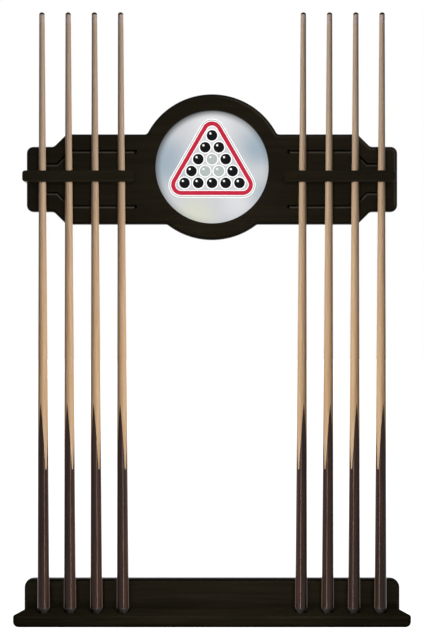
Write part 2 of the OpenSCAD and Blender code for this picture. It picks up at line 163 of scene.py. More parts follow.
class CueRackCues(bpy.types.PropertyGroup):
    """Woods and fittings of the cues."""

    maple: paint("Maple", "Light wood of the shafts", (0.60, 0.405, 0.24))
    maple_streak: paint("Maple streak", "Darker streaks of the shafts", (0.50, 0.30, 0.155))
    # The next colour is the shaft near the tip: greyed by chalk and hands, and darker as painted shade.
    worn_and_shaded: paint("Worn", "Shaft wood greyed by chalk and hands near the tip", (0.315, 0.240, 0.182))
    hardwood: paint("Hardwood", "Dark wood of the butts", (0.0230, 0.0105, 0.0070))
    hardwood_streak: paint("Hardwood streak", "Brown streaks of the butts", (0.0580, 0.0260, 0.0175))
    ferrule: paint("Ferrule", "Aged resin of the ferrules", (0.37, 0.285, 0.240))
    leather: paint("Leather", "Pressed leather of the tips", (0.016, 0.013, 0.011))
    rubber: paint("Rubber", "Moulded rubber of the bumpers", (0.037, 0.0330, 0.0290))


class CueRackFixings(bpy.types.PropertyGroup):
    """Screws, hanger plates and glazing points."""

    shank_share: share("Shank", "Shank diameter as a share of the head", 0.51)
    recess_share: share("Recess", "Length of the cross recess as a share of the head", 0.56)
    blade_share: share("Blade", "Width of the recess's slots as a share of the head", 0.13)
    pitch: size("Thread pitch", "Rise of the thread in one turn", 0.0020)
    yellow: paint("Yellow zinc", "Colour of the screws", (0.60, 0.45, 0.19))
    zinc: paint("Zinc", "Colour of the hanger plates", (0.60, 0.61, 0.62))
    steel: paint("Steel", "Colour of the glazing points", (0.55, 0.55, 0.55))


class CueRackStage(bpy.types.PropertyGroup):
    """Camera, floor and lamps."""

    distance: size("Camera distance", "From the wall to the camera", 3.0)
    height: size("Camera height", "Height of the camera above the shelf", 0.703)
    lens: FloatProperty(name="Lens", description="Focal length in millimetres", default=68.93)
    drop: size("Floor drop", "From the foot of the rack down to the floor", 0.33)
    ambient: share("Ambient", "Level of the light from all around", 0.075)
    floor: paint("Floor", "Colour of the floor", (0.84, 0.84, 0.84))
    key: level("Key", "Strength of the far light on each row of cues", 4.4)
    fill: level("Fill", "Strength of the far light on the mirror's print", 3.0)
    back: level("Back", "Strength of the far light on the wall side", 2.6)
    front: level("Front", "Power of the panel that lights the top board", 2.8)
    low: level("Low", "Power of the panel that lights the shelf", 3.4)
    bounce: level("Bounce", "Strength of the far light on the undersides of the rails", 2.5)
    glint: level("Glint", "Power of the strip that shines on the butts", 7.5)
    warm: paint("Warm", "Colour of the lamps that shine on the butts", (1.0, 0.84, 0.72))
    edge: level("Edge", "Strength of the far lights that shine on the top board's edges", 2.0)
    rim: level("Rim", "Power of the panel behind the butts that shines on their sides", 1.0)


class Shade:
    """A socket that takes part in Python sums: each operator adds a Math node."""

    def __init__(self, nodes, socket):
        self.nodes = nodes
        self.socket = socket

    def math(self, operation, *terms):
        return self.nodes.node("ShaderNodeMath", {"operation": operation}, dict(enumerate(terms)))

    def __add__(self, other):
        return self.math("ADD", self, other)

    def __sub__(self, other):
        return self.math("SUBTRACT", self, other)

    def __rsub__(self, other):
        return self.math("SUBTRACT", other, self)

    def __mul__(self, other):
        return self.math("MULTIPLY", self, other)

    def __truediv__(self, other):
        return self.math("DIVIDE", self, other)

    def __rtruediv__(self, other):
        return self.math("DIVIDE", other, self)

    def __pow__(self, other):
        return self.math("POWER", self, other)

    __radd__ = __add__
    __rmul__ = __mul__

    def larger(self, other):
        return self.math("MAXIMUM", self, other)

    def between(self, low, high):
        """Smooth step from nothing at low to all at high."""
        inputs = {"Value": self, "From Min": low, "From Max": high}
        return self.nodes.node("ShaderNodeMapRange", {"interpolation_type": "SMOOTHSTEP"}, inputs)


class Nodes:
    """A node tree that is built by calls and sums."""

    def __init__(self, tree):
        self.tree = tree

    def feed(self, socket, value):
        """Give a socket a value, a colour or a link."""
        if isinstance(value, Shade):
            self.tree.links.new(value.socket, socket)
        elif socket.type == "RGBA":
            socket.default_value = (*value, 1.0)
        else:
            socket.default_value = value

    def node(self, kind, settings=None, inputs=None, output=0):
        """Add a node of any kind: its settings come first, then its sockets."""
        node = self.tree.nodes.new(kind)
        for name, value in (settings or {}).items():
            setattr(node, name, value)
        for name, value in (inputs or {}).items():
            self.feed(node.inputs[name], value)
        return Shade(self, node.outputs[output])


class Finish(Nodes):
    """A material with a procedural surface."""

    def __init__(self, name, fixed=None):
        self.material = bpy.data.materials.new(name)
        self.material.use_nodes = True
        super().__init__(self.material.node_tree)
        self.shader = self.tree.nodes["Principled BSDF"]
        self.place = self.node("ShaderNodeTexCoord", output="Object")
        for socket, value in (fixed or {}).items():
            self.feed(self.shader.inputs[socket], value)

    def axes(self, vector=None):
        """The three parts of a vector, or else the three object coordinates of a point."""
        split = self.tree.nodes.new("ShaderNodeSeparateXYZ")
        self.feed(split.inputs[0], vector or self.place)
        return [Shade(self, output) for output in split.outputs]

    def noise(self, frequency, detail=2.0):
        """Noise with its own frequency along each axis, in waves per metre."""
        place = self.node("ShaderNodeMapping", None, {"Vector": self.place, "Scale": frequency})
        return self.node("ShaderNodeTexNoise", None, {"Vector": place, "Scale": 1.0, "Detail": detail})

    def mix(self, factor, first, second):
        """A colour between two colours."""
        return self.node("ShaderNodeMix", {"data_type": "RGBA"}, {0: factor, 6: first, 7: second}, 2)

    def surface(self, colour, roughness, height=None, depth=0.0):
        """Join colour, roughness and relief to the shader and hand over the material."""
        self.feed(self.shader.inputs["Base Color"], colour)
        self.feed(self.shader.inputs["Roughness"], roughness)
        if height is not None:
            relief = self.node("ShaderNodeBump", None, {"Height": height, "Distance": depth})
            self.feed(self.shader.inputs["Normal"], relief)
        return self.material


def stained_board(name, sizes, gloss, tone=1.0, painted_shade_from=None):
    """Black-brown stain under a satin coat, grain along the boards; painted shade behind a front face,
    painted highlight in grooves.
    """
    finish = Finish(name, {"Specular IOR Level": gloss, "Specular Tint": sizes.sheen})
    grain = finish.noise((7.0, 130.0, 130.0), 5.0)
    pores = finish.noise((55.0, 900.0, 900.0), 2.0)
    cloud = finish.noise((5.0, 9.0, 9.0), 1.0)
    take = (grain * 0.75 + cloud * 0.25).between(0.36, 0.72)
    dark, light = ([part * tone for part in colour] for colour in (sizes.dark, sizes.light))
    colour = finish.mix(take, dark, light)
    # Painted shade: the colour goes near black from just behind the front face, on edges, in grooves and
    # further back.
    if painted_shade_from is not None:
        painted_edge_shade = [part * sizes.edge for part in sizes.dark]
        depth = finish.axes()[1] - painted_shade_from
        colour = finish.mix(depth.between(0.0004, 0.0022), colour, painted_edge_shade)
        # Painted highlight: groove walls that face upwards turn lighter, as if lit from above.
        routed = finish.node("ShaderNodeAttribute", {"attribute_name": ROUTED}, output="Fac")
        facing = finish.axes(finish.node("ShaderNodeNewGeometry", output="Normal"))
        colour = finish.mix(routed * facing[2].between(0.1, 0.6), colour, sizes.painted_groove_light)
    roughness = sizes.rough - 0.06 + pores * 0.10 + cloud * 0.06
    return finish.surface(colour, roughness, grain * 0.6 + pores * 0.4, sizes.grain_depth)


def silvered_glass(sizes, centre, radius):
    """Silvered mirror with painted reflections of cool, warm and bright clouds, and a painted shadow
    darkening its rim.
    """
    finish = Finish("silvered_glass", {"Metallic": 1.0})
    x, _, z = finish.axes()
    across = (x - centre.x) / radius
    up = (z - centre.z) / radius

    def spot(at_across, at_up, reach):
        away = ((across - at_across) ** 2 + (up - at_up) ** 2) ** 0.5
        return 1 - away.between(0.0, reach)

    # Painted reflections: soft cool, warm and bright patches stand in for a pale room seen in the glass.
    drift = finish.noise((9.0, 9.0, 9.0), 1.0) - 0.5
    painted_cool_reflection = spot(-0.86, 0.10, 0.75) + spot(0.80, 0.36, 0.62) + spot(0.86, -0.42, 0.46) * 0.55 + drift * 0.5
    warm = spot(-0.30, -0.84, 0.62) * 0.9
    # Painted shadow: the rim darkens, most at the top left, as if under the lip of the opening.
    away = (across ** 2 + up ** 2) ** 0.5
    lean = (up * 0.83 - across * 0.55) * 0.42 + 0.58
    shade = away.between(0.80, 1.0) * lean
    bright = spot(0.0, 0.74, 0.62) + spot(0.42, -0.62, 0.5) * 0.7
    colour = finish.mix(bright.between(0.0, 1.1), sizes.silver, sizes.bright)
    colour = finish.mix(painted_cool_reflection.between(0.0, 1.1), colour, sizes.cloud)
    colour = finish.mix(warm.between(0.0, 1.0), colour, sizes.warm)
    colour = finish.mix(shade.between(0.0, 1.0), colour, sizes.rim)
    return finish.surface(colour, 0.07 + finish.noise((40.0, 40.0, 40.0)) * 0.05)


def ink(name, colour):
    """Screen-printed ink with a faintly uneven film."""
    finish = Finish(name, {"Specular IOR Level": 0.05})
    film = finish.noise((420.0, 420.0, 420.0), 2.0)
    thin = [min(1.0, part * 1.12 + 0.004) for part in colour]
    uneven = finish.mix(film.between(0.3, 0.75), colour, thin)
    return finish.surface(uneven, 0.36 + film * 0.2, film, 0.00002)


def hardboard(sizes):
    """Pressed wood fibre with the mark of its pressing screen."""
    finish = Finish("hardboard", {"Specular IOR Level": 0.2})
    fibre = finish.noise((420.0, 420.0, 420.0), 4.0)
    patch = finish.noise((28.0, 28.0, 28.0), 2.0)
    x, _, z = finish.axes()
    wires = 1400.0
    screen = (x * wires).math("SINE", x * wires) * (z * wires).math("SINE", z * wires)
    dark = [part * 0.55 for part in sizes.hardboard]
    colour = finish.mix((fibre * 0.7 + patch * 0.3).between(0.35, 0.7), dark, sizes.hardboard)
    return finish.surface(colour, 0.62 + fibre * 0.2, screen * 0.3 + fibre * 0.7, 0.0002)


def metal(name, colour, frequency, wear):
    """Plated or rolled metal with streaks or patches of its own scale."""
    finish = Finish(name, {"Metallic": 1.0})
    streak = finish.noise(frequency, 3.0)
    spangle = finish.node("ShaderNodeTexVoronoi", None, {"Vector": finish.place, "Scale": 380.0})
    tone = (streak * 0.7 + spangle * 0.3).between(0.2, 0.75)
    dull = [part * (1.0 - wear) for part in colour]
    return finish.surface(finish.mix(tone, dull, colour), 0.30 + streak * 0.22, streak, 0.00002)


def maple(sizes):
    """Clear-varnished maple that greys towards the tip with chalk and wear, and darkens there as painted
    shade.
    """
    finish = Finish("maple_shaft", {"Specular IOR Level": 0.1})
    grain = finish.noise((300.0, 300.0, 7.0), 3.0)
    streak = finish.noise((75.0, 75.0, 1.3), 2.0)
    height = finish.axes()[2]
    wood = finish.mix((grain * 0.5 + streak * 0.5).between(0.36, 0.68), sizes.maple, sizes.maple_streak)
    # Towards the tip the wood greys with chalk and wear and darkens as painted shade.
    worn_and_shaded = height.between(0.55, 1.38) * 0.85
    worn_and_shaded_tone = [part * 0.86 for part in sizes.worn_and_shaded]
    chalked = finish.mix(grain.between(0.35, 0.7), sizes.worn_and_shaded, worn_and_shaded_tone)
    return finish.surface(finish.mix(worn_and_shaded, wood, chalked), 0.30 + grain * 0.16, grain, 0.00005)


def dark_hardwood(sizes):
    """Dark butt wood with brown streaks under a gloss varnish."""
    finish = Finish("dark_hardwood", {"Specular IOR Level": 0.12})
    grain = finish.noise((260.0, 260.0, 9.0), 3.0)
    streak = finish.noise((70.0, 70.0, 2.2), 2.0)
    tone = (grain * 0.45 + streak * 0.55).between(0.34, 0.66)
    colour = finish.mix(tone, sizes.hardwood, sizes.hardwood_streak)
    return finish.surface(colour, 0.10 + grain * 0.08, grain, 0.00002)


def resin(sizes):
    """Ivory-coloured resin, slightly yellowed and scuffed."""
    finish = Finish("ferrule_resin", {"Specular IOR Level": 0.1})
    scuff = finish.noise((500.0, 500.0, 160.0), 3.0)
    stained = [part * 0.82 for part in sizes.ferrule]
    colour = finish.mix(scuff.between(0.4, 0.75), sizes.ferrule, stained)
    return finish.surface(colour, 0.3 + scuff * 0.2, scuff, 0.00003)


def pressed_leather(sizes):
    """Layers of pressed leather with a rough, dusty face."""
    finish = Finish("tip_leather", {"Specular IOR Level": 0.15})
    layer = finish.noise((60.0, 60.0, 1500.0), 2.0)
    fibre = finish.noise((1600.0, 1600.0, 1600.0), 3.0)
    dusty = [part * 2.2 for part in sizes.leather]
    tone = (layer * 0.5 + fibre * 0.5).between(0.38, 0.7)
    return finish.surface(finish.mix(tone, sizes.leather, dusty), 0.7 + fibre * 0.2, fibre, 0.0002)


def moulded_rubber(sizes):
    """Matt rubber with a fine moulded texture and rubbed patches."""
    finish = Finish("bumper_rubber", {"Specular IOR Level": 0.12})
    fine = finish.noise((1300.0, 1300.0, 1300.0), 2.0)
    rubbed = finish.noise((120.0, 120.0, 120.0), 3.0)
    pale = [part * 1.5 for part in sizes.rubber]
    colour = finish.mix(rubbed.between(0.45, 0.7), sizes.rubber, pale)
    return finish.surface(colour, 0.20 + rubbed * 0.2, fine, 0.00002)


def new_piece(name, mesh, body):
    """Put a finished mesh in the scene and let it ride on a body."""
    piece = bpy.data.objects.new(name, mesh)
    bpy.context.scene.collection.objects.link(piece)
    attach(piece, body)
    return piece


def merged_solid(node):
    """A frame node's solid with its loose triangles joined, as a bmesh."""
    solid = bmesh.new()
    solid.from_mesh(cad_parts[node].data)
    bmesh.ops.remove_doubles(solid, verts=solid.verts, dist=MERGE_DISTANCE)
    return solid


def mark_grooves(solid):
    """Mark the walls of shallow grooves in the front, up to the plunge at each groove's inner end."""
    layer = solid.faces.layers.float.new(ROUTED)
    front = min(vert.co.y for vert in solid.verts)
    left = {face for face in solid.faces if abs(face.normal.y) < FLAT_LIMIT}
    while left:
        patch = [left.pop()]
        for face in patch:
            near = {other for edge in face.edges for other in edge.link_faces} & left
            left -= near
            patch.extend(near)
        depth = max(vert.co.y for face in patch for vert in face.verts) - front
        inner = min(abs(vert.co.x) for face in patch for vert in face.verts) + PLUNGE
        for face in patch:
            face[layer] = float(depth < GROOVE_LIMIT and abs(face.calc_center_median().x) > inner)


def follow_taper(solid, foot, axis):
    """Refine the outer faces of a turned piece until their edges follow its round taper."""

    def outwards(point):
        return (point - foot) - axis * (point - foot).dot(axis)

    def is_outer(face):
        return face.normal.dot(outwards(face.calc_center_median()).normalized()) > OUTER_LIMIT

    def sag(edge):
        first, second = (outwards(vert.co) for vert in edge.verts)
        return (first.length + second.length - (first + second).length) / 2

    for _ in range(REFINE_ROUNDS):
        outer_edges = {edge for face in solid.faces if is_outer(face) for edge in face.edges}
        flat = [edge for edge in outer_edges if sag(edge) > CHORD_LIMIT]
        if not flat:
            break
        for edge in flat:
            rise = sag(edge)
            vert = bmesh.utils.edge_split(edge, edge.verts[0], 0.5)[1]
            vert.co += outwards(vert.co).normalized() * rise
        bmesh.ops.triangulate(solid, faces=[face for face in solid.faces if len(face.verts) > 3])
        solid.normal_update()


def finished_copy(node, solid, material, body):
    """A piece in place of a frame node: its rounded faces shade smoothly and its flat faces stay flat."""
    for face in solid.faces:
        face.smooth = True
    for edge in solid.edges:
        edge.smooth = edge.calc_face_angle(math.pi) < SHARP_ANGLE
    mesh = bpy.data.meshes.new(node + "_finished")
    solid.to_mesh(mesh)
    solid.free()
    mesh.materials.append(material)
    piece = new_piece(mesh.name, mesh, body)
    flat = piece.modifiers.new("flat_faces", "WEIGHTED_NORMAL")
    flat.keep_sharp = True
    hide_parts(node)


def middle_of(node):
    """Middle of a frame node's box."""
    low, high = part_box(node)
    return (low + high) / 2


def dress_nodes(material, *nodes):
    """Give frame nodes that stay as they are a better finish."""
    for node in nodes:
        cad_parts[node].material_slots[0].material = material


def loose_boxes(node):
    """Lowest and highest corners of each separate solid of a frame node."""
    solid = merged_solid(node)
    left = set(solid.verts)
    boxes = []
    while left:
        reached = [left.pop()]
        for vert in reached:
            near = {edge.other_vert(vert) for edge in vert.link_edges} & left
            left -= near
            reached.extend(near)
        corners = [[vert.co[axis] for vert in reached] for axis in range(3)]
        boxes.append((Vector(map(min, corners)), Vector(map(max, corners))))
    solid.free()
    return sorted(boxes, key=lambda box: tuple(box[0]))


def new_tree(name, inputs):
    """A Geometry Nodes tree with named inputs, and the sockets that they give."""
    tree = bpy.data.node_groups.new(name, "GeometryNodeTree")
    tree.interface.new_socket("Points", in_out="INPUT", socket_type="NodeSocketGeometry")
    tree.interface.new_socket("Pieces", in_out="OUTPUT", socket_type="NodeSocketGeometry")
    for label, kind in inputs.items():
        tree.interface.new_socket(label, in_out="INPUT", socket_type=kind)
    nodes = Nodes(tree)
    start = tree.nodes.new("NodeGroupInput")
    return nodes, {output.name: Shade(nodes, output) for output in start.outputs if output.name}


def close_tree(nodes, instances, material):
    """End a tree: instances become a real mesh and get their material."""
    real = nodes.node("GeometryNodeRealizeInstances", None, {"Geometry": instances})
    shown = nodes.node("GeometryNodeSetMaterial", None, {"Geometry": real, "Material": material})
    end = nodes.tree.nodes.new("NodeGroupOutput")
    nodes.feed(end.inputs[0], shown)
    return nodes.tree


def run_tree(tree, name, points, values):
    """Run a tree on a few points and bake what it makes into a plain mesh."""
    mesh = bpy.data.meshes.new(name + "_points")
    mesh.from_pydata(points, [], [])
    holder = bpy.data.objects.new(name + "_points", mesh)
    bpy.context.scene.collection.objects.link(holder)
    maker = holder.modifiers.new("maker", "NODES")
    maker.node_group = tree
    for item in tree.interface.items_tree:
        if item.in_out == "INPUT" and item.name in values:
            maker[item.identifier] = values[item.name]
    graph = bpy.context.evaluated_depsgraph_get()
    baked = bpy.data.meshes.new_from_object(holder.evaluated_get(graph))
    baked.name = name
    bpy.data.objects.remove(holder)
    bpy.data.meshes.remove(mesh)
    return baked


def screw_tree():
    """Countersunk wood screws with a cross recess and a thread, heads on the wall side."""
    length = "NodeSocketFloat"
    nodes, given = new_tree("wood_screws", {
        "Head Diameter": length, "Shank Diameter": length, "Length": length, "Thread Pitch": length,
        "Recess Length": length, "Recess Width": length, "Material": "NodeSocketMaterial",
    })
    head, shank = given["Head Diameter"], given["Shank Diameter"]
    head_h = (head - shank) / 2
    core = shank * 0.36
    stem = given["Length"] - head_h - shank

    def moved(shape, rise):
        place = nodes.node("ShaderNodeCombineXYZ", None, {"Z": rise})
        return nodes.node("GeometryNodeTransform", None, {"Geometry": shape, "Translation": place})

    def bar(along_x, along_y):
        depth = head_h * 1.3
        sides = nodes.node("ShaderNodeCombineXYZ", None, {"X": along_x, "Y": along_y, "Z": depth})
        return nodes.node("GeometryNodeMeshCube", None, {"Size": sides})

    def cone(low_r, high_r, height):
        inputs = {"Vertices": SCREW_SIDES, "Radius Top": high_r, "Radius Bottom": low_r, "Depth": height}
        return nodes.node("GeometryNodeMeshCone", None, inputs)

    def joined(*shapes):
        join = nodes.tree.nodes.new("GeometryNodeJoinGeometry")
        for shape in shapes:
            nodes.feed(join.inputs[0], shape)
        return Shade(nodes, join.outputs[0])

    slot, blade = given["Recess Length"], given["Recess Width"]
    cross = joined(bar(slot, blade), bar(blade, slot))
    cut = {"Mesh 1": cone(head / 2, shank / 2, head_h), "Mesh 2": cross}
    top = nodes.node("GeometryNodeMeshBoolean", {"operation": "DIFFERENCE"}, cut)
    turns = stem * 0.7 / given["Thread Pitch"]
    helix = nodes.node("GeometryNodeCurveSpiral", None, {
        "Resolution": 20, "Rotations": turns, "Start Radius": core, "End Radius": core, "Height": stem * 0.7,
    })
    ridge = nodes.node("GeometryNodeCurvePrimitiveCircle", None, {"Resolution": 3, "Radius": shank * 0.15})
    swept = {"Curve": helix, "Profile Curve": ridge, "Fill Caps": True}
    thread = nodes.node("GeometryNodeCurveToMesh", None, swept)
    screw = joined(
        top,
        moved(cone(shank / 2, shank / 2, stem * 0.3), head_h),
        moved(cone(core, core, stem * 0.7), head_h + stem * 0.3),
        moved(cone(core, shank / 8, shank), head_h + stem),
        moved(thread, head_h + stem * 0.3),
    )
    instances = nodes.node("GeometryNodeInstanceOnPoints", None, {
        "Points": given["Points"], "Instance": screw, "Rotation": (math.pi / 2, 0.0, 0.0),
    })
    return close_tree(nodes, instances, given["Material"])


def dot_tree():
    """Flat round dots of ink on a sheet that faces the room."""
    nodes, given = new_tree("printed_dots", {
        "Radius": "NodeSocketFloat", "Film": "NodeSocketFloat", "Material": "NodeSocketMaterial",
    })
    disc = {"Vertices": DOT_SIDES, "Radius": given["Radius"], "Depth": given["Film"]}
    dot = nodes.node("GeometryNodeMeshCylinder", None, disc)
    instances = nodes.node("GeometryNodeInstanceOnPoints", None, {
        "Points": given["Points"], "Instance": dot, "Rotation": (math.pi / 2, 0.0, 0.0),
    })
    return close_tree(nodes, instances, given["Material"])


def rounded_triangle(centre, reach, corner):
    """Round-cornered outline of a triangle that stands on a side; reach is from its centre to its sides."""
    points = []
    for side in range(3):
        middle = math.radians(90 - 120 * side)
        tip = centre + Vector((math.cos(middle), math.sin(middle))) * 2 * (reach - corner)
        for step in range(CORNER_STEPS + 1):
            angle = middle + math.radians(60 - 120 * step / CORNER_STEPS)
            points.append(tip + Vector((math.cos(angle), math.sin(angle))) * corner)
    return points


def band(outer, inner, front, back):
    """Closed flat ring between two outlines with as many points, between two depths."""
    shape = bmesh.new()
    count = len(outer)
    rings = [
        [shape.verts.new((point.x, depth, point.y)) for point in outline]
        for outline, depth in ((outer, front), (outer, back), (inner, back), (inner, front))
    ]
    for k, ring in enumerate(rings):
        follower = rings[(k + 1) % len(rings)]
        for i in range(count):
            j = (i + 1) % count
            shape.faces.new((ring[i], ring[j], follower[j], follower[i]))
    bmesh.ops.recalc_face_normals(shape, faces=shape.faces)
    return shape


class CUERACK_OT_boards(bpy.types.Operator):
    """Finish the top board, the rails, the back board and the shelf."""

    bl_idname = "cuerack.boards"
    bl_label = "Boards"

    def execute(self, context):
        sizes = context.scene.cuerack_stain
        # The top board and the back board get the painted shade behind their front faces.
        painted_edge_shade = stained_board("stained_board", sizes, sizes.gloss, painted_shade_from=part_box("top_board")[0].y)
        plain = stained_board("stained_rail", sizes, sizes.gloss)
        # The shelf's stain is made 1.3 times lighter: painted light, a lit copy of the boards' stain.
        matt = stained_board("stained_shelf", sizes, 0.0, 1.3)
        finishes = (painted_edge_shade, plain, plain, painted_edge_shade, matt)
        for node, material in zip(BOARDS, finishes):
            solid = merged_solid(node)
            mark_grooves(solid)
            finished_copy(node, solid, material, RACK)
        return {"FINISHED"}


class CUERACK_OT_mirror(bpy.types.Operator):
    """Silver the mirror and finish its backing board and glazing points."""

    bl_idname = "cuerack.mirror"
    bl_label = "Mirror"

    def execute(self, context):
        sizes = context.scene.cuerack_mirror
        low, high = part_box("mirror")
        dress_nodes(silvered_glass(sizes, (low + high) / 2, (high.x - low.x) / 2), "mirror")
        dress_nodes(hardboard(sizes), "mirror_backing")
        steel = metal("rolled_steel", context.scene.cuerack_fixings.steel, (900.0, 60.0, 60.0), 0.35)
        dress_nodes(steel, "glazing_points")
        return {"FINISHED"}


class CUERACK_OT_print(bpy.types.Operator):
    """Print a plain triangle of balls on the mirror."""

    bl_idname = "cuerack.print"
    bl_label = "Print"

    def execute(self, context):
        sizes = context.scene.cuerack_mirror
        low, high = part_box("mirror")
        middle = (low + high) / 2
        inks = {name: ink(name + "_ink", getattr(sizes, name)) for name in ("red", "black", "grey", "white")}
        rise = sizes.pitch * math.sqrt(3) / 2
        reach = rise * (sizes.rows - 1) / 3
        spots = {"black": [], "grey": []}
        for row in range(sizes.rows):
            for k in range(row + 1):
                x = middle.x + (k - row / 2) * sizes.pitch
                z = middle.z + 2 * reach - row * rise
                edge = row in (0, sizes.rows - 1) or k in (0, row)
                colour = "black" if edge else "grey"
                spots[colour].append((x, z))
        tree = dot_tree()
        every = [spot for found in spots.values() for spot in found]
        glints = [(x - sizes.ball * 0.32, z + sizes.ball * 0.36) for x, z in every]
        layers = [
            ("white", every, sizes.ball + sizes.line, 0.5),
            *((colour, found, sizes.ball, 1.5) for colour, found in spots.items()),
            ("white", glints, sizes.ball * 0.2, 2.5),
        ]
        for k, (colour, found, radius, layer) in enumerate(layers):
            depth = low.y - layer * sizes.film
            points = [(x, depth, z) for x, z in found]
            values = {"Radius": radius, "Film": sizes.film, "Material": inks[colour]}
            mesh = run_tree(tree, f"print_dots_{k + 1}", points, values)
            new_piece(f"print_dots_{k + 1}", mesh, RACK)
        self.frame_lines(sizes, Vector((middle.x, middle.z)), reach, low.y, inks)
        return {"FINISHED"}

    def frame_lines(self, sizes, centre, reach, glass, inks):
        """The triangular frame round the balls: a red band with white edges and a grey line round it."""
        inside = reach + sizes.ball + sizes.line * 1.6
        lines = (("white", 0.0, 6.7, 1), ("red", 0.7, 4.3, 2), ("grey", 5.1, 5.9, 2))
        for name, start, end, layer in lines:
            outlines = [
                rounded_triangle(centre, inside + sizes.line * edge, sizes.ball + sizes.line * edge)
                for edge in (end, start)
            ]
            shape = band(*outlines, glass - layer * sizes.film, glass)
            mesh = bpy.data.meshes.new(f"print_frame_{name}")
            shape.to_mesh(mesh)
            shape.free()
            mesh.materials.append(inks[name])
            new_piece(mesh.name, mesh, RACK)


class CUERACK_OT_fixings(bpy.types.Operator):
    """Turn the screws and finish the hanger plates."""

    bl_idname = "cuerack.fixings"
    bl_label = "Fixings"

    def execute(self, context):
        sizes = context.scene.cuerack_fixings
        yellow = metal("yellow_zinc", sizes.yellow, (260.0, 260.0, 260.0), 0.3)
        tree = screw_tree()
        for node in ("rail_screws", "shelf_screws", "hanger_screws"):
            boxes = loose_boxes(node)
            low, high = boxes[0]
            head = high.x - low.x
            points = [((box[0].x + box[1].x) / 2, box[1].y, (box[0].z + box[1].z) / 2) for box in boxes]
            mesh = run_tree(tree, node + "_turned", points, {
                "Head Diameter": head, "Shank Diameter": head * sizes.shank_share, "Length": high.y - low.y,
                "Thread Pitch": sizes.pitch, "Recess Length": head * sizes.recess_share,
                "Recess Width": head * sizes.blade_share, "Material": yellow,
            })
            piece = new_piece(node + "_turned", mesh, RACK)
            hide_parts(node)
        zinc = metal("zinc_plate", sizes.zinc, (120.0, 120.0, 900.0), 0.25)
        dress_nodes(zinc, *(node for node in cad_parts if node.endswith("_hanger")))
        return {"FINISHED"}


class CUERACK_OT_cues(bpy.types.Operator):
    """Finish the woods, tips, ferrules and bumpers of the cues."""

    bl_idname = "cuerack.cues"
    bl_label = "Cues"

    def execute(self, context):
        sizes = context.scene.cuerack_cues
        finishes = {
            "tip": pressed_leather(sizes), "ferrule": resin(sizes), "shaft": maple(sizes),
            "butt": dark_hardwood(sizes), "bumper": moulded_rubber(sizes),
        }
        for node in [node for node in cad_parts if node.startswith("cue_")]:
            cue, part = node.rsplit("_", 1)
            if part in SPLICED:
                foot, tip = middle_of(cue + "_bumper"), middle_of(cue + "_tip")
                solid = merged_solid(node)
                follow_taper(solid, foot, (tip - foot).normalized())
                finished_copy(node, solid, finishes[part], cue)
            else:
                dress_nodes(finishes[part], node)
        return {"FINISHED"}


